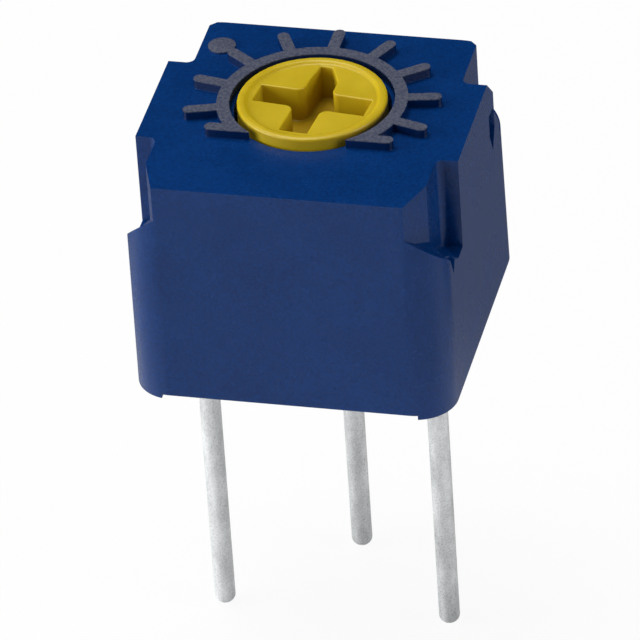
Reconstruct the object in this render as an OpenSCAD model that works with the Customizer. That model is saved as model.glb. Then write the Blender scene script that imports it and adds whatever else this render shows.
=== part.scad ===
// Single-turn trimming potentiometer with a sealed cermet track, in millimetres, +Z up.
// The origin is the centre of the underside, on the board. The front, with the gap in the dial, faces -Y.

/* [Housing] */
// Width across the side wings and the base
body_w = 7.0; // [5:0.05:10]
// Depth of the base, front to back
body_d = 7.0; // [5:0.05:10]
// Height of the top face above the board
body_h = 5.33; // [3:0.01:8]
// How far the rotor's axis sits behind the middle of the body
body_shift = 0.11; // [0:0.01:0.4]
// Front face's lean at the top, measured inwards
front_lean = 0.13; // [0:0.01:0.5]
// Back face's lean at the top, measured inwards
back_lean = 0.35; // [0:0.01:0.6]
// Rounding of the four upright corners of the base
corner_r = 0.88; // [0.2:0.01:1.5]
// Width of the upper body behind and in front of the side wings
upper_w = 6.06; // [4:0.01:8]
// Length of each side wing
wing_l = 2.96; // [1:0.01:5]
// Height of a front pocket's floor beside the wing
front_pocket_z = 3.17; // [2.5:0.01:4.5]
// Height of a back pocket's floor beside the wing
back_pocket_z = 3.38; // [2.5:0.01:4.5]
// Length of the level part of a pocket's floor
pocket_l = 0.44; // [0.2:0.01:2]
// Slope of a front pocket's floor beyond its level part, in degrees
front_slope = 40; // [0:1:60]
// Slope of a back pocket's floor beyond its level part, in degrees
back_slope = 20; // [0:1:60]
// Height of a front step where its facet starts
step_z = 4.4; // [3.8:0.01:5]
// Fall of a front step towards the back, in degrees
step_fall = 22; // [0:1:45]
// Fall of a front step away from its facet, in degrees
step_out = 38; // [0:1:60]
// Depth of the small runout notch in a pocket's edge
runout_h = 0.5; // [0.1:0.01:0.6]
// Width of the runout notch
runout_w = 0.5; // [0.05:0.01:0.4]
// Depth of the runout notch
runout_t = 0.12; // [0.05:0.01:0.3]
// Distance of a front runout notch from its wing
front_runout = 0.92; // [0.2:0.01:1.5]
// Distance of a back runout notch from its wing
back_runout = 0.25; // [0.2:0.01:1.5]
// Height of a back runout notch's upper end above the board
back_runout_z = 4.0; // [3:0.01:4.5]
// Length of the heel behind a wing
heel_l = 0.51; // [0.1:0.01:1]
// Drop of the heel's slanted top
heel_drop = 0.5; // [0.1:0.01:1]
// Height of the heel's lower slope where it starts
heel_z = 4.32; // [3.5:0.01:5]
// Length of the heel's lower slope
heel_slope_l = 0.42; // [0.1:0.01:1]
// Drop of the heel's lower slope
heel_slope_drop = 0.5; // [0.1:0.01:1]
// Height of the runout notch's upper end above the board
runout_z = 3.6; // [3:0.01:4]
// Width left of the front face between its facets, at the top
face_w = 5.42; // [3:0.01:7]
// Width of the upper body behind the wings
upper_back_w = 5.9; // [4:0.01:7]
// Length of a front facet, front to back
facet_l = 0.89; // [0.2:0.01:2]
// Chamfer of the two back corners at the top
back_chamfer = 0.16; // [0.05:0.01:0.6]
// Fillet inside the corners of the wings
inner_fillet = 0.18; // [0.02:0.01:0.3]
// Depth of the clearance under the front and back walls
foot_h = 0.1; // [0.02:0.01:0.5]
// Width of that clearance between the feet
foot_gap = 5.6; // [3:0.05:6.5]

/* [Dial] */
// Inner radius of the raised dial ring
ring_in_r = 1.77; // [1.7:0.01:2.5]
// Outer radius of the raised dial ring
ring_out_r = 2.045; // [1.8:0.005:3]
// Height of the ring and ticks above the top face
ring_h = 0.22; // [0.05:0.01:0.5]
// Radius of the ticks' outer ends
tick_r = 2.76; // [2.2:0.01:3.2]
// Width of a tick
tick_w = 0.26; // [0.1:0.01:0.4]
// Angle between two ticks
tick_step = 26.5; // [10:0.5:45]
// Number of ticks that point to the rotor's axis
tick_count = 9; // [3:1:15]
// Reach of the two end ticks to the side
end_tick_x = 2.05; // [1.5:0.01:3]
// Distance of the two end ticks in front of the rotor's axis
end_tick_y = 1.3; // [1:0.01:2]
// Radius of the marker dot
dot_r = 0.3; // [0.1:0.01:0.6]
// Marker dot's distance to the left of the rotor's axis
dot_x = 2.48; // [1.5:0.01:3]
// Marker dot's distance behind the rotor's axis
dot_y = 2.07; // [1.5:0.01:3]
// Height of the marker dot above the top face
dot_h = 0.05; // [0.02:0.01:0.3]

/* [Inside of the housing] */
// Width and depth of the cavity for the plate and the resin
cavity_w = 6.1; // [4:0.05:6.6]
// Width of the ledge left around the chamber at the middle of a side
ledge_w = 0.35; // [0.2:0.01:1]
// Rounding of the cavity's corners
cavity_r = 0.6; // [0.1:0.05:1]
// Height of the ledge that the plate is held against
ledge_z = 2.09; // [1:0.01:3]
// Height of the chamber's ceiling
ceiling_z = 4.35; // [3:0.01:5]
// Running clearance around the rotor's head
head_gap = 0.08; // [0.02:0.01:0.1]
// Gap between the rotor's flange and the stop block
stop_gap = 0.07; // [0.02:0.01:0.2]
// Angle that the stop block spans
stop_angle = 70; // [20:1:120]
// Height of the stop block's underside
stop_z = 3.25; // [2.5:0.01:4]

/* [Rotor] */
// Radius of the rotor's head and neck
rotor_r = 1.61; // [1:0.01:2]
// Height of the rotor's rim above the housing's top face
rotor_proud = 0.26; // [0:0.01:1]
// Edge chamfer around the rotor's rim
rim_chamfer = 0.04; // [0.01:0.01:0.2]
// Radius of the recess inside the rim
recess_r = 1.39; // [0.8:0.01:1.6]
// Depth of the recess inside the rim
recess_h = 0.06; // [0.02:0.01:0.3]
// Width of the cross slot's arms
slot_w = 0.62; // [0.2:0.01:1]
// Length of a slot arm from the axis
slot_l = 1.25; // [0.5:0.01:1.5]
// Depth of the slot below the recess
slot_h = 0.8; // [0.2:0.05:1.2]
// Rounding of the four lands' inner corners
land_r = 0.18; // [0.02:0.01:0.4]
// Where the pointed arm's slanted side starts
point_start = 0.78; // [0.4:0.01:1.1]
// Width of the pointed arm's end
point_w = 0.28; // [0.05:0.01:0.5]
// Length of the pointed arm from the axis
point_l = 1.3; // [0.8:0.01:1.36]
// Angle of the pointed arm in the photographed position
rotor_angle = -6.3; // [-20:0.1:20]
// Gap between the rotor's flange and the chamber's wall
flange_gap = 0.35; // [0.2:0.01:0.8]
// Height of the flange's underside
flange_z = 3.15; // [2.5:0.01:4]
// Thickness of the flange
flange_h = 0.7; // [0.3:0.01:1]
// Gap between the stop lug and the chamber's wall
lug_gap = 0.1; // [0.02:0.01:0.2]
// Angle that the stop lug spans
lug_angle = 29.2; // [5:0.1:60]
// Thickness of the stop lug
lug_h = 0.5; // [0.2:0.01:0.7]
// Radius of the stake that holds the wiper
stake_r = 0.33; // [0.1:0.01:0.6]
// Radius of the stake's flattened head
stake_head_r = 0.5; // [0.2:0.01:0.8]
// Thickness of the stake's flattened head
stake_head_h = 0.12; // [0.05:0.01:0.3]

/* [Seal] */
// Thickness of the seal's section
seal_d = 0.5; // [0.2:0.01:0.8]
// Clearance between the seal and the parts it touches
seal_gap = 0.005; // [0:0.005:0.05]

/* [Wiper] */
// Thickness of the wiper's sheet
wiper_t = 0.08; // [0.03:0.01:0.2]
// Radius of the wiper's plate
wiper_r = 1.3; // [0.6:0.01:2]
// Width of the outer finger
outer_finger_w = 0.36; // [0.1:0.01:0.6]
// Width of the inner finger
inner_finger_w = 0.22; // [0.1:0.01:0.4]
// Radius at which the inner finger meets the collector
inner_contact_r = 0.8; // [0.6:0.01:1.2]
// Length of a finger from its root to its contact
finger_l = 1.0; // [0.5:0.01:1.5]
// Clearance between a contact and the printed film
contact_gap = 0.01; // [0:0.005:0.05]

/* [Plate] */
// Gap between the plate and the cavity's walls
plate_gap = 0.07; // [0.02:0.01:0.2]
// Thickness of the ceramic plate
plate_h = 0.6; // [0.3:0.01:1]
// Height of the plate's top above the board
plate_z = 2.05; // [1:0.01:3]
// Corner chamfer of the plate
plate_chamfer = 0.45; // [0.1:0.01:1]
// Radius of a terminal's hole in the plate
plate_hole_r = 0.3; // [0.2:0.01:0.6]
// Thickness of the printed films
film_h = 0.03; // [0.01:0.005:0.1]
// Width of the printed track
track_w = 0.48; // [0.2:0.01:1]
// Distance of the printed track's outer edge from the plate's edge
track_inset = 0.84; // [0.5:0.01:1.5]
// Angle that the printed track spans
track_angle = 252; // [180:1:300]
// Angle of track that each end pad covers
pad_angle = 13; // [5:1:30]
// Rim of an end pad around its terminal
pad_rim = 0.12; // [0.05:0.01:0.3]
// Width of the neck from an end pad to its terminal
pad_neck_w = 0.2; // [0.1:0.01:0.5]
// How far an end pad reaches past the track's outer edge
pad_reach = 0.36; // [0.2:0.01:0.6]
// Radius of the collector
collector_r = 1.4; // [1:0.01:1.6]
// Radius of the filled hole under the collector
via_r = 0.22; // [0.1:0.01:0.4]
// Width of the printed lead from the filled hole to the middle terminal
lead_w = 0.5; // [0.2:0.01:1]

/* [Terminals] */
// Distance of the outer terminals from the cavity's walls
pin_inset = 0.51; // [0.4:0.01:2]
// Distance of the middle terminal behind the outer ones
pin_offset = 2.54; // [0:0.01:5]
// Distance of the outer terminals in front of the rotor's axis
pin_row = 0.82; // [0:0.01:2]
// Radius of the round terminals
pin_r = 0.23; // [0.2:0.01:0.5]
// Width of a terminal's squared root above its collar
root_w = 0.32; // [0.1:0.01:0.5]
// Length of the terminals below the board
pin_l = 7.4; // [2:0.1:10]
// Length of the rounded tip
tip_l = 0.2; // [0.05:0.01:0.5]
// Depth of a terminal's end below the plate's top
pin_end = 0.05; // [0:0.01:0.2]
// Width of the square collar that anchors a terminal in the resin
collar_w = 0.72; // [0.5:0.01:1]
// Height of that collar
collar_h = 0.2; // [0.05:0.01:0.5]
// Radius of a solder joint at the plate
solder_r = 0.5; // [0.3:0.01:0.9]
// Radius of a solder joint at its lower end
solder_end_r = 0.29; // [0.26:0.01:0.6]
// Height of a solder joint
solder_h = 0.4; // [0.1:0.01:1]
// Height of the resin's face above the board
resin_z = 0.12; // [0.05:0.01:1]

/* [Hidden] */
eps = 0.01;
end_tick_in = sqrt(pow((ring_in_r + ring_out_r) / 2, 2) - pow(end_tick_y, 2));
lean_scale = (body_d - front_lean - back_lean) / body_d;
lean_y = -body_d / 2 + front_lean / (1 - lean_scale);
top_front = body_d / 2 - front_lean;
top_back = body_d / 2 - back_lean;
rim_z = body_h + rotor_proud;
land_z = rim_z - recess_h;
flange_top = flange_z + flange_h;
wiper_z = flange_z - wiper_t;
film_z = plate_z + film_h;
chamber_r = cavity_w / 2 - ledge_w;
flange_r = chamber_r - flange_gap;
lug_r = chamber_r - lug_gap;
stop_r = flange_r + stop_gap;
plate_w = cavity_w - 2 * plate_gap;
track_out_r = plate_w / 2 - track_inset;
track_in_r = track_out_r - track_w;
pad_out_r = track_out_r + pad_reach;
outer_contact_r = (track_in_r + track_out_r) / 2;
pin_pitch = cavity_w - 2 * pin_inset;
pins = [[-pin_pitch / 2, -pin_row], [0, pin_offset - pin_row], [pin_pitch / 2, -pin_row]];
pin_tops = [plate_z - pin_end, plate_z - plate_h - film_h, plate_z - pin_end];
pad_start = 90 - track_angle / 2 - pad_angle / 2;

module rounded_square(w, d, r)
{
    offset(r = r, $fn = 64)
        square([w - 2 * r, d - 2 * r], center = true);
}

// A flat slice of a ring between two angles.
module sector(r_in, r_out, a_from, a_to)
{
    steps = ceil((a_to - a_from) / 3);
    polygon(concat(
        [for (i = [0 : steps]) let (a = a_from + (a_to - a_from) * i / steps) r_out * [cos(a), sin(a)]],
        [for (i = [steps : -1 : 0]) let (a = a_from + (a_to - a_from) * i / steps) r_in * [cos(a), sin(a)]]));
}

// Outer form with its leaning front and back, before the pockets are cut.
module leaning_block()
{
    translate([0, lean_y, 0])
        linear_extrude(height = body_h, scale = [1, lean_scale])
            translate([0, -lean_y])
                rounded_square(body_w, body_d, corner_r);
}

// Outline of the upper body: wings at the sides, facets in front, chamfers behind.
module upper_outline()
{
    u = upper_w / 2;
    b = upper_back_w / 2;
    f = face_w / 2;
    y = wing_l / 2;
    far = body_d;
    f_far = f - (u - f) * (far - top_front) / facet_l;
    offset(r = -inner_fillet, $fn = 32)
        offset(delta = inner_fillet)
            polygon([[-f_far, -far], [f_far, -far], [u, -top_front + facet_l], [u, -y],
                     [far, -y], [far, y], [b, y],
                     [b, top_back - back_chamfer], [b - back_chamfer, top_back], [b - back_chamfer, far],
                     [-b + back_chamfer, far], [-b + back_chamfer, top_back], [-b, top_back - back_chamfer],
                     [-b, y], [-far, y], [-far, -y], [-u, -y], [-u, -top_front + facet_l]]);
}

// Space above one corner pocket, down to its floor, which is level by the wing and then rises.
module pocket_space(side, end)
{
    reach = 2 * body_w;
    floor_z = end > 0 ? back_pocket_z : front_pocket_z;
    difference()
    {
        translate([side > 0 ? 0 : -reach, end > 0 ? 0 : -reach, floor_z])
            cube([reach, reach, body_h]);
        translate([side * body_w / 2, end * (wing_l / 2 + pocket_l), floor_z])
            rotate([0, 0, atan2(-end, side)])
                rotate([0, end > 0 ? back_slope : front_slope, 0])
                    translate([-reach, -reach, -2 * reach])
                        cube(2 * reach);
    }
}

// Low step left standing along a front facet, its top falling outwards and to the back.
module step_block(side)
{
    reach = 2 * body_w;
    facet = [(upper_w - face_w) / 2, facet_l];
    mirror([side > 0 ? 0 : 1, 0, 0])
        translate([face_w / 2, -top_front, 0])
            rotate([0, 0, atan2(facet[1], facet[0]) - 90])
                intersection()
                {
                    translate([-reach, -reach, 0])
                        cube([2 * reach, reach + norm(facet), body_h]);
                    translate([0, 0, step_z])
                        rotate([-step_fall, step_out, 0])
                            translate([-reach, -reach, -2 * reach])
                                cube(2 * reach);
                }
}

// Heel that carries the back of a wing, with a slanted top and a slope down into the pocket.
module heel_block(side)
{
    y = wing_l / 2;
    translate([side * body_w / 2, 0, 0])
        rotate([90, 0, 90])
            linear_extrude(height = body_w / 2, center = true)
                polygon([[0, 0], [0, body_h], [y, body_h], [y + heel_l, body_h - heel_drop],
                         [y + heel_l, heel_z],
                         [y + heel_l + heel_slope_l, heel_z - heel_slope_drop],
                         [y + heel_l + heel_slope_l, 0]]);
}

// Small notch where the pocket's cutter ran out through the side.
module runout(side, end)
{
    translate([side * body_w / 2, end * (wing_l / 2 + (end > 0 ? back_runout : front_runout)),
               end > 0 ? back_runout_z : runout_z])
        rotate([0, 90, 0])
            linear_extrude(height = 2 * runout_t, center = true)
                polygon([[-runout_h, -runout_w / 2], [-runout_h, runout_w / 2], [0, runout_w / 2],
                         [runout_h, 0], [0, -runout_w / 2]]);
}

module dial()
{
    translate([0, 0, body_h - eps])
        linear_extrude(height = ring_h + eps)
        {
            intersection()
            {
                difference()
                {
                    circle(ring_out_r, $fn = 120);
                    circle(ring_in_r, $fn = 120);
                }
                translate([-ring_out_r, -end_tick_y - tick_w / 2])
                    square(2 * ring_out_r + 1);
            }
            for (i = [0 : tick_count - 1])
                rotate([0, 0, 90 + (i - (tick_count - 1) / 2) * tick_step])
                {
                    translate([ring_out_r - 0.05, -tick_w / 2])
                        square([tick_r - tick_w / 2 - ring_out_r + 0.05, tick_w]);
                    translate([tick_r - tick_w / 2, 0])
                        circle(tick_w / 2, $fn = 12);
                }
            for (side = [-1, 1])
            {
                translate([side > 0 ? end_tick_in : -end_tick_x + tick_w / 2, -end_tick_y - tick_w / 2])
                    square([end_tick_x - tick_w / 2 - end_tick_in, tick_w]);
                translate([side * (end_tick_x - tick_w / 2), -end_tick_y])
                    circle(tick_w / 2, $fn = 12);
            }
        }
    translate([-dot_x, dot_y, body_h - eps])
        cylinder(r = dot_r, h = dot_h + eps, $fn = 48);
}

module chamber()
{
    difference()
    {
        translate([0, 0, ledge_z - eps])
            cylinder(r = chamber_r, h = ceiling_z - ledge_z + eps, $fn = 120);
        translate([0, 0, stop_z])
            linear_extrude(height = ceiling_z)
                sector(stop_r, chamber_r + 1, -90 - stop_angle / 2, -90 + stop_angle / 2);
    }
}

module housing()
{
    color([0.02, 0.16, 0.4])
        difference()
        {
            union()
            {
                translate([0, -body_shift, 0])
                    difference()
                    {
                        leaning_block();
                        for (side = [-1, 1])
                            for (end = [-1, 1])
                            {
                                difference()
                                {
                                    pocket_space(side, end);
                                    linear_extrude(height = 2 * body_h)
                                        upper_outline();
                                    if (end < 0)
                                        step_block(side);
                                    else
                                        heel_block(side);
                                }
                                runout(side, end);
                            }
                    }
                dial();
            }
            chamber();
            translate([0, 0, ceiling_z - eps])
                cylinder(r = rotor_r + head_gap, h = body_h, $fn = 120);
            translate([0, 0, -1])
                linear_extrude(height = ledge_z + 1)
                    rounded_square(cavity_w, cavity_w, cavity_r);
            translate([-foot_gap / 2, -body_d, -1])
                cube([foot_gap, 2 * body_d, 1 + foot_h]);
        }
}

// Plan of the cross slot, with rounded inner corners and one pointed arm.
module slot_plan()
{
    w = slot_w / 2;
    offset(r = -land_r, $fn = 32)
        offset(delta = land_r)
        {
            square([2 * slot_l, slot_w], center = true);
            translate([-w, -slot_l])
                square([slot_w, slot_l]);
            polygon([[-w, 0], [w, 0], [w, point_start], [point_w - w + 0.05, point_l], [-w + 0.05, point_l],
                     [-w, point_start]]);
        }
}

module rotor()
{
    color([0.8, 0.7, 0.12])
        rotate([0, 0, rotor_angle])
        {
            difference()
            {
                rotate_extrude($fn = 120)
                    polygon([[0, flange_z], [flange_r, flange_z], [flange_r, flange_top],
                             [rotor_r, flange_top],
                             [rotor_r, rim_z - rim_chamfer], [rotor_r - rim_chamfer, rim_z],
                             [recess_r + recess_h, rim_z], [recess_r, land_z], [0, land_z]]);
                translate([0, 0, land_z - slot_h])
                    linear_extrude(height = slot_h + 1)
                        slot_plan();
            }
            translate([0, 0, flange_z + (flange_h - lug_h) / 2])
                linear_extrude(height = lug_h)
                    sector(flange_r - 0.1, lug_r, 90 - lug_angle / 2, 90 + lug_angle / 2);
            translate([0, 0, wiper_z - stake_head_h])
                cylinder(r = stake_head_r, h = stake_head_h, $fn = 48);
            translate([0, 0, wiper_z - stake_head_h])
                cylinder(r = stake_r, h = wiper_t + stake_head_h + eps, $fn = 48);
        }
}

module o_ring()
{
    color([0.1, 0.1, 0.1])
        translate([0, 0, flange_top + seal_gap + seal_d / 2])
            rotate_extrude($fn = 96)
                translate([rotor_r + seal_gap + seal_d / 2 - 0.02, 0])
                    intersection()
                    {
                        circle(seal_d / 2 + 0.03, $fn = 32);
                        square([seal_d - 0.04, (ceiling_z - flange_top) - 2 * seal_gap], center = true);
                    }
}

// Side view of one finger, drawn with its contact at the origin.
module finger(width)
{
    rise = wiper_z - film_z - contact_gap;
    rotate([90, 0, 0])
        linear_extrude(height = width, center = true)
            polygon([[-finger_l - 0.08, rise + wiper_t], [-finger_l - 0.08, rise], [-finger_l + 0.12, rise],
                     [-0.12, 0.05], [-0.04, 0], [0.04, 0], [0.12, 0.05], [0.26, 0.3], [0.2, 0.34],
                     [0.06, 0.12], [0, wiper_t], [-0.08, 0.12], [-finger_l + 0.16, rise + wiper_t]]);
}

module wiper()
{
    color([0.82, 0.76, 0.6])
        rotate([0, 0, rotor_angle])
        {
            translate([0, 0, wiper_z])
                linear_extrude(height = wiper_t)
                    difference()
                    {
                        union()
                        {
                            circle(wiper_r, $fn = 64);
                            translate([-finger_l - 0.08, 0])
                                square([0.3, outer_contact_r + outer_finger_w / 2]);
                        }
                        circle(stake_r, $fn = 48);
                        translate([-finger_l + 0.22, inner_contact_r - 0.16])
                            square([finger_l + 0.1, 0.32]);
                    }
            translate([0, outer_contact_r, film_z + contact_gap])
                finger(outer_finger_w);
            translate([0, inner_contact_r, film_z + contact_gap])
                finger(inner_finger_w);
        }
}

module plate_outline()
{
    h = plate_w / 2;
    c = plate_chamfer;
    polygon([[-h + c, -h], [h - c, -h], [h, -h + c], [h, h - c], [h - c, h], [-h + c, h], [-h, h - c],
             [-h, -h + c]]);
}

module pin_circle(i, r)
{
    translate([pins[i][0], pins[i][1]])
        circle(r, $fn = 48);
}

module substrate()
{
    color([0.9, 0.9, 0.86])
        translate([0, 0, plate_z - plate_h])
            linear_extrude(height = plate_h)
                difference()
                {
                    plate_outline();
                    pin_circle(0, plate_hole_r);
                    pin_circle(2, plate_hole_r);
                    circle(via_r, $fn = 48);
                }
}

module resistive_track()
{
    color([0.16, 0.15, 0.15])
        translate([0, 0, plate_z])
            linear_extrude(height = film_h)
                sector(track_in_r, track_out_r, 90 - track_angle / 2, 90 + track_angle / 2);
}

module collector_pad()
{
    color([0.75, 0.74, 0.7])
    {
        translate([0, 0, plate_z])
            cylinder(r = collector_r, h = film_h, $fn = 96);
        translate([0, 0, plate_z - plate_h])
            cylinder(r = via_r, h = plate_h + eps, $fn = 48);
    }
}

// Plan of the lead on the plate's underside.
module lead_outline()
{
    circle(via_r + pad_rim, $fn = 48);
    translate([-lead_w / 2, 0])
        square([lead_w, pins[1][1]]);
    pin_circle(1, solder_r);
}

module collector_lead()
{
    color([0.75, 0.74, 0.7])
        translate([0, 0, plate_z - plate_h - film_h])
            linear_extrude(height = film_h)
                lead_outline();
}

// Straight strip between two points.
module strip(from, to, w)
{
    translate(from)
        rotate(atan2(to[1] - from[1], to[0] - from[0]))
            translate([0, -w / 2])
                square([norm(to - from), w]);
}

module end_pad(i, side)
{
    color([0.75, 0.74, 0.7])
        translate([0, 0, plate_z])
            linear_extrude(height = film_h)
                difference()
                {
                    union()
                    {
                        mirror([side > 0 ? 0 : 1, 0])
                        {
                            sector(track_in_r, pad_out_r, 90 - track_angle / 2 - pad_angle,
                                   90 - track_angle / 2 - 0.3);
                            strip((pad_out_r - pad_neck_w / 2) * [cos(pad_start), sin(pad_start)], pins[2],
                                  pad_neck_w);
                        }
                        intersection()
                        {
                            pin_circle(i, plate_hole_r + pad_rim);
                            plate_outline();
                        }
                    }
                    pin_circle(i, plate_hole_r);
                }
}

module end_pad_1()
{
    end_pad(0, -1);
}

module end_pad_3()
{
    end_pad(2, 1);
}

// Squared root of a terminal, from its collar up to a height.
module root(i, top)
{
    from = resin_z + collar_h - eps;
    translate([pins[i][0], pins[i][1], from])
        linear_extrude(height = top - from)
            square(root_w, center = true);
}

// Square collar of a terminal, from a height up to the collar's top.
module collar(i, from)
{
    translate([pins[i][0], pins[i][1], from])
        linear_extrude(height = resin_z + collar_h - from)
            square(collar_w, center = true);
}

module terminal(i)
{
    color([0.75, 0.76, 0.76])
    {
        translate([pins[i][0], pins[i][1], 0])
            rotate_extrude($fn = 48)
                polygon(concat([[0, -pin_l]],
                               [for (a = [15 : 15 : 75]) [pin_r * sin(a), tip_l * (1 - cos(a)) - pin_l]],
                               [[pin_r, tip_l - pin_l], [pin_r, resin_z + eps], [0, resin_z + eps]]));
        collar(i, resin_z);
        root(i, pin_tops[i]);
    }
}

module terminal_1()
{
    terminal(0);
}

module terminal_2()
{
    terminal(1);
}

module terminal_3()
{
    terminal(2);
}

// Side view of a solder joint's outer edge, under the plate or under the middle terminal's pad.
function solder_edge(top) =
    [[solder_end_r, top - solder_h], [solder_end_r + 0.06, top - solder_h / 2], [solder_r - 0.08, top - 0.1],
     [solder_r, top]];

function solder_top(i) = plate_z - plate_h - (i == 1 ? film_h : 0);

module solder(i)
{
    top = solder_top(i);
    color([0.7, 0.7, 0.72])
        difference()
        {
            translate([pins[i][0], pins[i][1], 0])
                rotate_extrude($fn = 48)
                    polygon(concat([[0, top], [0, top - solder_h]], solder_edge(top)));
            root(i, top + 1);
        }
}

module solder_1()
{
    solder(0);
}

module solder_2()
{
    solder(1);
}

module solder_3()
{
    solder(2);
}

module potting()
{
    top = plate_z - plate_h;
    color([0.12, 0.14, 0.2])
        difference()
        {
            translate([0, 0, resin_z])
                linear_extrude(height = top - resin_z)
                    rounded_square(cavity_w, cavity_w, cavity_r);
            translate([0, 0, top - film_h])
                linear_extrude(height = 1)
                    lead_outline();
            for (i = [0 : 2])
            {
                translate([pins[i][0], pins[i][1], 0])
                    rotate_extrude($fn = 48)
                        polygon(concat([[0, solder_top(i) - solder_h]], solder_edge(solder_top(i)),
                                       [[solder_r, top + 1], [0, top + 1]]));
                collar(i, 0);
                root(i, top);
            }
        }
}

housing();
rotor();
o_ring();
wiper();
substrate();
resistive_track();
collector_pad();
collector_lead();
end_pad_1();
end_pad_3();
solder_1();
solder_2();
solder_3();
terminal_1();
terminal_2();
terminal_3();
potting();
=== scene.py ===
"""A single-turn trimming potentiometer on its three terminals, dressed for a product picture."""
import math

import bpy
from mathutils import Matrix, Vector


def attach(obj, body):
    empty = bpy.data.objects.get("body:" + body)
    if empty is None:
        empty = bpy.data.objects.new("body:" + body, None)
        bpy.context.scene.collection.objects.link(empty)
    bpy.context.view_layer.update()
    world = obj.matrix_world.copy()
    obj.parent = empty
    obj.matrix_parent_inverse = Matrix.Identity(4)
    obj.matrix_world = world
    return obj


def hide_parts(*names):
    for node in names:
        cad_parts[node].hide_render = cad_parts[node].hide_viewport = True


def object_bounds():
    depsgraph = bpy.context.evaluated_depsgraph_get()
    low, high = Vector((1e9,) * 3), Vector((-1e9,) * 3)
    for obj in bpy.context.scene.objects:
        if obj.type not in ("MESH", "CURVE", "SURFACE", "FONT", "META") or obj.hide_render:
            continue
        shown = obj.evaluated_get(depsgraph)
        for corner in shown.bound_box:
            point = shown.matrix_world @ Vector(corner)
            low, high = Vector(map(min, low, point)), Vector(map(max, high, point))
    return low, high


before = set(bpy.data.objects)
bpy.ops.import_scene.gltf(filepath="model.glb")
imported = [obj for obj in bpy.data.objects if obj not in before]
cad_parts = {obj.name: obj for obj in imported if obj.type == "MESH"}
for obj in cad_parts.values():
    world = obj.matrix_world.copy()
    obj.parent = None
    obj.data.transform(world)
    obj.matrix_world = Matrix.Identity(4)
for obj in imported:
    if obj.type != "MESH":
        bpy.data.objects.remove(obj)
cad_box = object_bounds()
MM = 0.001

# --- The stand-in for the photographer's table ---
# A white sheet under the tips of the terminals, lit by a large soft lamp above and by weaker ones to the right,
# to the left and at the front left. Past the back of the part its colour is painted grey for all but camera
# rays, a painted shade that keeps the part's right side from glaring. The camera looks at the front from a
# little to the right and well above.

AZIMUTH, ELEVATION, ROLL = (math.radians(a) for a in (15.1, 34.57, -3.96))
CAMERA_DISTANCE = 174.1 * MM
FOCAL_PIXELS = 8046.5
FRAME_PIXELS = 640
SENSOR_WIDTH = 36
AIM = Vector((-0.1444, -0.0685, -0.128)) * MM


class Paint:
    """A shader value: sums and products of it add the nodes that work them out."""

    def __init__(self, tree, socket):
        self.tree, self.socket = tree, socket

    def node(self, kind, settings=None, **values):
        """Adds a node, sets it up, feeds its sockets, and gives back its first live output."""
        new = self.tree.nodes.new("ShaderNode" + kind)
        for name, value in (settings or {}).items():
            if name == "stops":
                ramp = new.color_ramp.elements
                while len(ramp) < len(value):
                    ramp.new(0.5)
                for stop, (place, level) in zip(ramp, value):
                    stop.position = place
                    stop.color = (*level, 1) if isinstance(level, tuple) else (level, level, level, 1)
            else:
                setattr(new, name, value)
        for name, value in values.items():
            key = int(name[1:]) if name[0] == "_" else name.replace("_", " ")
            if isinstance(value, Paint):
                self.tree.links.new(value.socket, new.inputs[key])
            else:
                new.inputs[key].default_value = value
        return Paint(self.tree, next(s for s in new.outputs if s.enabled and not s.is_unavailable))

    def pick(self, name):
        return Paint(self.tree, self.socket.node.outputs[name])

    def math(self, how, *values):
        numbered = {f"_{place}": value for place, value in enumerate(values)}
        return self.node("Math", {"operation": how, "use_clamp": False}, **numbered)

    def __add__(self, other):
        return self.math("ADD", self, other)

    def __sub__(self, other):
        return self.math("SUBTRACT", self, other)

    def __mul__(self, other):
        return self.math("MULTIPLY", self, other)

    def __rsub__(self, other):
        return self.math("SUBTRACT", other, self)

    def __lt__(self, edge):
        return self.math("LESS_THAN", self, edge)

    __radd__, __rmul__ = __add__, __mul__

    def step(self, low, high):
        """Goes from 0 to 1 while this value goes from low to high."""
        return self.node("MapRange", {"interpolation_type": "SMOOTHSTEP"}, _0=self, _1=low, _2=high)

    def mix(self, below, above):
        """The colour below where this is 0 and the colour above where it is 1."""
        return self.node("Mix", {"data_type": "RGBA"}, _0=self, _6=below, _7=above).pick(2)


def finish_of(name, colour, roughness, **constants):
    """Starts a material with one plain finish; gives it, its shader and the object's own coordinates."""
    material = bpy.data.materials.new(name)
    material.use_nodes = True
    tree = material.node_tree
    shader = tree.nodes["Principled BSDF"]
    shader.inputs["Base Color"].default_value = (*colour, 1)
    shader.inputs["Roughness"].default_value = roughness
    for key, value in constants.items():
        shader.inputs[key.replace("_", " ")].default_value = value
    place = Paint(tree, tree.nodes.new("ShaderNodeTexCoord").outputs["Object"])
    return material, shader, place


def feed(shader, **paints):
    for name, paint in paints.items():
        paint.tree.links.new(paint.socket, shader.inputs[name.replace("_", " ")])


back = Vector((math.sin(AZIMUTH) * math.cos(ELEVATION), -math.cos(AZIMUTH) * math.cos(ELEVATION),
               math.sin(ELEVATION)))
level_right = Vector((math.cos(AZIMUTH), math.sin(AZIMUTH), 0))
level_up = back.cross(level_right)
right = level_right * math.cos(ROLL) + level_up * math.sin(ROLL)
up = level_up * math.cos(ROLL) - level_right * math.sin(ROLL)
eye = AIM + back * CAMERA_DISTANCE
camera_data = bpy.data.cameras.new("camera")
camera_data.sensor_width = SENSOR_WIDTH
camera_data.lens = FOCAL_PIXELS / FRAME_PIXELS * SENSOR_WIDTH
camera_data.clip_start, camera_data.clip_end = 0.01, 20
camera = bpy.data.objects.new("camera", camera_data)
bpy.context.scene.collection.objects.link(camera)
camera.matrix_world = Matrix((right, up, back)).transposed().to_4x4()
camera.location = eye
bpy.context.scene.camera = camera
bpy.context.scene.view_settings.view_transform = "Standard"

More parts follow.
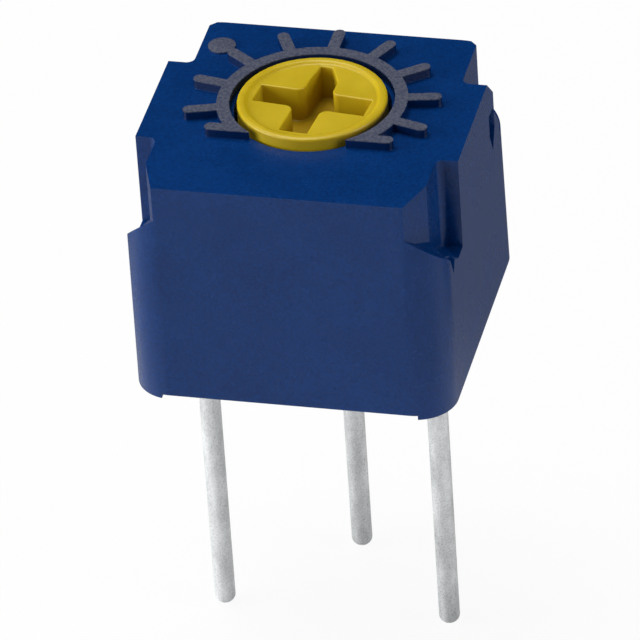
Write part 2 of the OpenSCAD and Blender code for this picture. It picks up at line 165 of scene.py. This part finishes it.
bpy.ops.object.select_all(action="DESELECT")
FLOOR_Z = cad_box[0][2] - 0.02 * MM
PAPER_WHITE = (0.9, 0.9, 0.9, 1)
# Grey painted onto the sheet as shade, seen by reflections and bounce light but not by the camera.
PAPER_PAINTED_SHADE = (0.2, 0.2, 0.21, 1)
SHADE_FROM, SHADE_TO = -2 * MM, 12 * MM
bpy.ops.mesh.primitive_plane_add(size=6, location=(0, 0, FLOOR_Z))
table = bpy.context.object
table.name = "table"
paper, paper_shader, paper_place = finish_of("white_table", (0.9, 0.9, 0.9), 0.9)
camera_ray = Paint(paper.node_tree, paper.node_tree.nodes.new("ShaderNodeLightPath").outputs["Is Camera Ray"])
# Painted shade: for all but camera rays the sheet's colour goes from white to grey towards the back, past the
# part.
painted_shade_behind = paper_place.node("SeparateXYZ", None, _0=paper_place).pick("Y").step(SHADE_FROM, SHADE_TO)
feed(paper_shader, Base_Color=camera_ray.mix(painted_shade_behind.mix(PAPER_WHITE, PAPER_PAINTED_SHADE), PAPER_WHITE))
glow = camera_ray.node("Emission", None, Color=(1, 1, 1, 1), Strength=1.0)
lit = Paint(paper.node_tree, paper_shader.outputs[0])
white = camera_ray.node("MixShader", None, _0=camera_ray * 0.93, _1=lit, _2=glow)
paper.node_tree.links.new(white.socket, paper.node_tree.nodes["Material Output"].inputs["Surface"])
table.data.materials.append(paper)

world = bpy.data.worlds.new("room")
world.use_nodes = True
room = world.node_tree.nodes["Background"]
room.inputs["Color"].default_value = (0.5, 0.52, 0.55, 1)
room.inputs["Strength"].default_value = 0.03
seen = Paint(world.node_tree, world.node_tree.nodes.new("ShaderNodeLightPath").outputs["Is Camera Ray"])
direct = Paint(world.node_tree, room.outputs[0])
pale = seen.node("Background", None, Color=(1, 1, 1, 1), Strength=1.0)
both = seen.node("MixShader", None, _0=seen, _1=direct, _2=pale)
world.node_tree.links.new(both.socket, world.node_tree.nodes["World Output"].inputs["Surface"])
bpy.context.scene.world = world


def softbox(name, place, width, height, watts, target=(0, 0, 2)):
    lamp = bpy.data.lights.new(name, "AREA")
    lamp.shape, lamp.size, lamp.size_y, lamp.energy = "RECTANGLE", width * MM, height * MM, watts
    holder = bpy.data.objects.new(name, lamp)
    bpy.context.scene.collection.objects.link(holder)
    holder.location = Vector(place) * MM
    holder.rotation_euler = (holder.location - Vector(target) * MM).to_track_quat("Z", "Y").to_euler()


softbox("key", (-40, 22, 175), 110, 110, 0.22)
softbox("right", (175, -15, 60), 100, 100, 0.14)
softbox("front", (-145, -115, 60), 120, 100, 0.15)
softbox("left", (-175, -40, 50), 100, 100, 0.17)


# --- Housing ---
# The blue cup is moulded in a filled thermoplastic with a satin, slightly grainy skin and small radii on its
# edges. The raised dial, its ticks and the dot have grey print rolled on their tops.

TOP_Z = 5.33
DIAL_Z = 5.55
DOT_X, DOT_Y, DOT_R = -2.48, 2.07, 0.33
HOUSING_EDGE = 0.035


def moulded(node, name, radius, angle=15, segments=3):
    """A copy of a plain solid with rounded edges, standing for it."""
    piece = bpy.data.objects.new(name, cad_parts[node].data.copy())
    bpy.context.scene.collection.objects.link(piece)
    bpy.ops.object.select_all(action="DESELECT")
    piece.select_set(True)
    bpy.context.view_layer.objects.active = piece
    bpy.ops.object.mode_set(mode="EDIT")
    bpy.ops.mesh.select_all(action="SELECT")
    bpy.ops.mesh.remove_doubles(threshold=1e-6)
    bpy.ops.mesh.dissolve_limited(angle_limit=math.radians(0.6))
    bpy.ops.object.mode_set(mode="OBJECT")
    edge = piece.modifiers.new("edge", "BEVEL")
    edge.width, edge.segments, edge.limit_method = radius * MM, segments, "ANGLE"
    edge.angle_limit = math.radians(angle)
    edge.use_clamp_overlap = True
    bpy.ops.object.modifier_apply(modifier=edge.name)
    bpy.ops.object.shade_smooth_by_angle(angle=math.radians(35))
    flats = piece.modifiers.new("flats", "WEIGHTED_NORMAL")
    flats.keep_sharp = True
    bpy.ops.object.modifier_apply(modifier=flats.name)
    piece.data.materials.clear()
    return piece


def two_tone(pattern, low, high, dark, light):
    """A pattern turned into a drift between two close colours."""
    return pattern.node("ValToRGB", {"stops": [(low, dark), (high, light)]}, Fac=pattern)


def bumped(place, height, depth):
    """A surface normal from a height pattern, with depth in millimetres."""
    return place.node("Bump", None, Height=height, Strength=1.0, Distance=depth * MM)


housing = moulded("housing", "housing_skin", HOUSING_EDGE)
blue, blue_shader, place = finish_of("blue_moulding", (0.001, 0.035, 0.17), 0.3, Specular_IOR_Level=0.25)
axes = place.node("SeparateXYZ", None, _0=place)
x, y, z = (axes.pick(letter) for letter in "XYZ")
grain = place.node("TexNoise", None, Vector=place, Scale=16000.0, Detail=3.0, Roughness=0.6)
blotch = place.node("TexNoise", None, Vector=place, Scale=700.0, Detail=4.0, Roughness=0.6)
dot_x, dot_y = x - DOT_X * MM, y - DOT_Y * MM
near_dot = (dot_x * dot_x + dot_y * dot_y) < (DOT_R * MM) ** 2
dial_top = z.step((DIAL_Z - 0.03) * MM, (DIAL_Z - 0.012) * MM)
dot_top = z.step((TOP_Z + 0.02) * MM, (TOP_Z + 0.035) * MM) * near_dot
printed = dial_top.math("MAXIMUM", dial_top, dot_top)
# Painted shade: the sides of the raised dial, ticks and dot, below their print, get a darker blue.
flank_painted_shade = z.step((TOP_Z + 0.01) * MM, (TOP_Z + 0.03) * MM) * (1 - printed)
plastic_colour = two_tone(grain * 0.7 + blotch * 0.3, 0.35, 0.65, (0.0003, 0.024, 0.12), (0.001, 0.04, 0.19))
shaded_colour = flank_painted_shade.mix(plastic_colour, (0.0002, 0.014, 0.075, 1))
ink_colour = two_tone(grain, 0.35, 0.65, (0.04, 0.05, 0.095), (0.108, 0.116, 0.155))
feed(blue_shader, Base_Color=printed.mix(shaded_colour, ink_colour),
     Roughness=blotch * 0.1 + 0.22 + printed * 0.25, Normal=bumped(place, grain, 0.004))
housing.data.materials.append(blue)
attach(housing, "body")
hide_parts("housing")


# --- Seal, printed plate and its joints ---
# A rubber ring closes the gap around the rotor's neck. Below it lies a white alumina plate with a dark cermet
# horseshoe and silver contacts fired on, and the terminals are soldered to its underside.

rubber, rubber_shader, place = finish_of("seal_rubber", (0.012, 0.012, 0.013), 0.7)
dust = place.node("TexNoise", None, Vector=place, Scale=6000.0, Detail=3.0)
feed(rubber_shader, Roughness=dust * 0.3 + 0.55, Normal=bumped(place, dust, 0.004))
alumina, alumina_shader, place = finish_of("alumina_plate", (0.85, 0.84, 0.8), 0.6)
crystal = place.node("TexVoronoi", None, Vector=place, Scale=20000.0)
feed(alumina_shader, Base_Color=two_tone(crystal, 0.0, 0.9, (0.78, 0.77, 0.73), (0.88, 0.87, 0.84)),
     Normal=bumped(place, crystal, 0.002))
cermet, cermet_shader, place = finish_of("cermet_film", (0.03, 0.027, 0.026), 0.5)
fired = place.node("TexNoise", None, Vector=place, Scale=12000.0, Detail=4.0)
feed(cermet_shader, Base_Color=two_tone(fired, 0.35, 0.7, (0.02, 0.018, 0.018), (0.06, 0.054, 0.05)),
     Roughness=fired * 0.3 + 0.35, Normal=bumped(place, fired, 0.003))
silver, silver_shader, place = finish_of("silver_film", (0.72, 0.7, 0.66), 0.4, Metallic=1.0)
fired = place.node("TexNoise", None, Vector=place, Scale=12000.0, Detail=4.0)
feed(silver_shader, Roughness=fired * 0.35 + 0.25, Normal=bumped(place, fired, 0.003))
solder, solder_shader, place = finish_of("solder_alloy", (0.6, 0.6, 0.61), 0.35, Metallic=1.0)
frost = place.node("TexNoise", None, Vector=place, Scale=5000.0, Detail=5.0)
feed(solder_shader, Roughness=frost * 0.4 + 0.2, Normal=bumped(place, frost, 0.006))
spring, spring_shader, place = finish_of("spring_alloy", (0.75, 0.66, 0.48), 0.3, Metallic=1.0)
drawn = place.node("Mapping", None, _0=place, Scale=(1.0, 12.0, 1.0))
rolled = place.node("TexNoise", None, Vector=drawn, Scale=2500.0, Detail=3.0)
feed(spring_shader, Roughness=rolled * 0.3 + 0.2)
for node, paint in {"o_ring": rubber, "substrate": alumina, "resistive_track": cermet,
                    "collector_pad": silver, "collector_lead": silver, "end_pad_1": silver,
                    "end_pad_3": silver, "solder_1": solder, "solder_2": solder, "solder_3": solder,
                    "wiper": spring}.items():
    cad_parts[node].data.materials.clear()
    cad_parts[node].data.materials.append(paint)


# --- Rotor ---
# The yellow rotor is moulded with a rim, a sunk face and a cross slot for the trimming tool, one arm of which
# ends in a point that reads against the dial. It turns in the housing with a hair's gap all round.

ROTOR_EDGE = 0.065
# Heights in millimetres over which the painted shade on the rotor fades in, going down.
PAINTED_SHADE_FULL_Z, PAINTED_SHADE_START_Z = 4.6, 5.3

rotor = moulded("rotor", "rotor_skin", ROTOR_EDGE, segments=4)
yellow, yellow_shader, place = finish_of("yellow_moulding", (0.62, 0.5, 0.02), 0.38, Subsurface_Weight=0.25,
                                         Subsurface_Radius=(1.0, 0.7, 0.1), Subsurface_Scale=0.0003)
drift = place.node("TexNoise", None, Vector=place, Scale=900.0, Detail=3.0)
fine = place.node("TexNoise", None, Vector=place, Scale=9000.0, Detail=3.0)
axes = place.node("SeparateXYZ", None, _0=place)
# Painted shade: the yellow turns darker lower down the rotor, into its slot and down its sides, fully dark
# below 4.6 mm.
painted_shade_deep = 1 - axes.pick("Z").step(PAINTED_SHADE_FULL_Z * MM, PAINTED_SHADE_START_Z * MM)
top_colour = two_tone(drift, 0.35, 0.7, (0.56, 0.4, 0.005), (0.63, 0.46, 0.01))
feed(yellow_shader, Base_Color=painted_shade_deep.mix(top_colour, (0.36, 0.22, 0.001, 1)),
     Roughness=drift * 0.15 + 0.32, Normal=bumped(place, fine, 0.002))
rotor.data.materials.append(yellow)
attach(rotor, "rotor")
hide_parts("rotor")


# --- Terminals and resin ---
# Three round copper wires, tinned, with ends nipped and rounded, each with a square collar that lies flush in
# the cast resin. The resin closes the underside, with its face a little above the board.

tin, tin_shader, place = finish_of("tinned_wire", (0.8, 0.81, 0.82), 0.45, Metallic=0.35)
drawn = place.node("Mapping", None, _0=place, Scale=(1.0, 1.0, 0.35))
patch = place.node("TexNoise", None, Vector=drawn, Scale=2200.0, Detail=5.0, Roughness=0.65)
drawn = place.node("Mapping", None, _0=place, Scale=(6.0, 6.0, 0.5))
score = place.node("TexNoise", None, Vector=drawn, Scale=3000.0, Detail=3.0)
pits = place.node("TexNoise", None, Vector=place, Scale=24000.0, Detail=2.0)
plate_colour = two_tone(patch * 0.6 + pits * 0.4, 0.34, 0.62, (0.48, 0.49, 0.49), (0.93, 0.95, 0.96))
feed(tin_shader, Base_Color=pits.step(0.66, 0.72).mix(plate_colour, (0.3, 0.3, 0.29, 1)),
     Roughness=patch * 0.4 + 0.2, Normal=bumped(place, score, 0.006))
for node in ("terminal_1", "terminal_2", "terminal_3"):
    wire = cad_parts[node]
    wire.data.materials.clear()
    wire.data.materials.append(tin)
resin, resin_shader, place = finish_of("cast_resin", (0.012, 0.02, 0.05), 0.25)
ripple = place.node("TexNoise", None, Vector=place, Scale=500.0, Detail=3.0)
feed(resin_shader, Base_Color=two_tone(ripple, 0.3, 0.7, (0.01, 0.016, 0.04), (0.02, 0.03, 0.07)),
     Roughness=ripple * 0.3 + 0.12, Normal=bumped(place, ripple, 0.03))
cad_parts["potting"].data.materials.clear()
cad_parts["potting"].data.materials.append(resin)
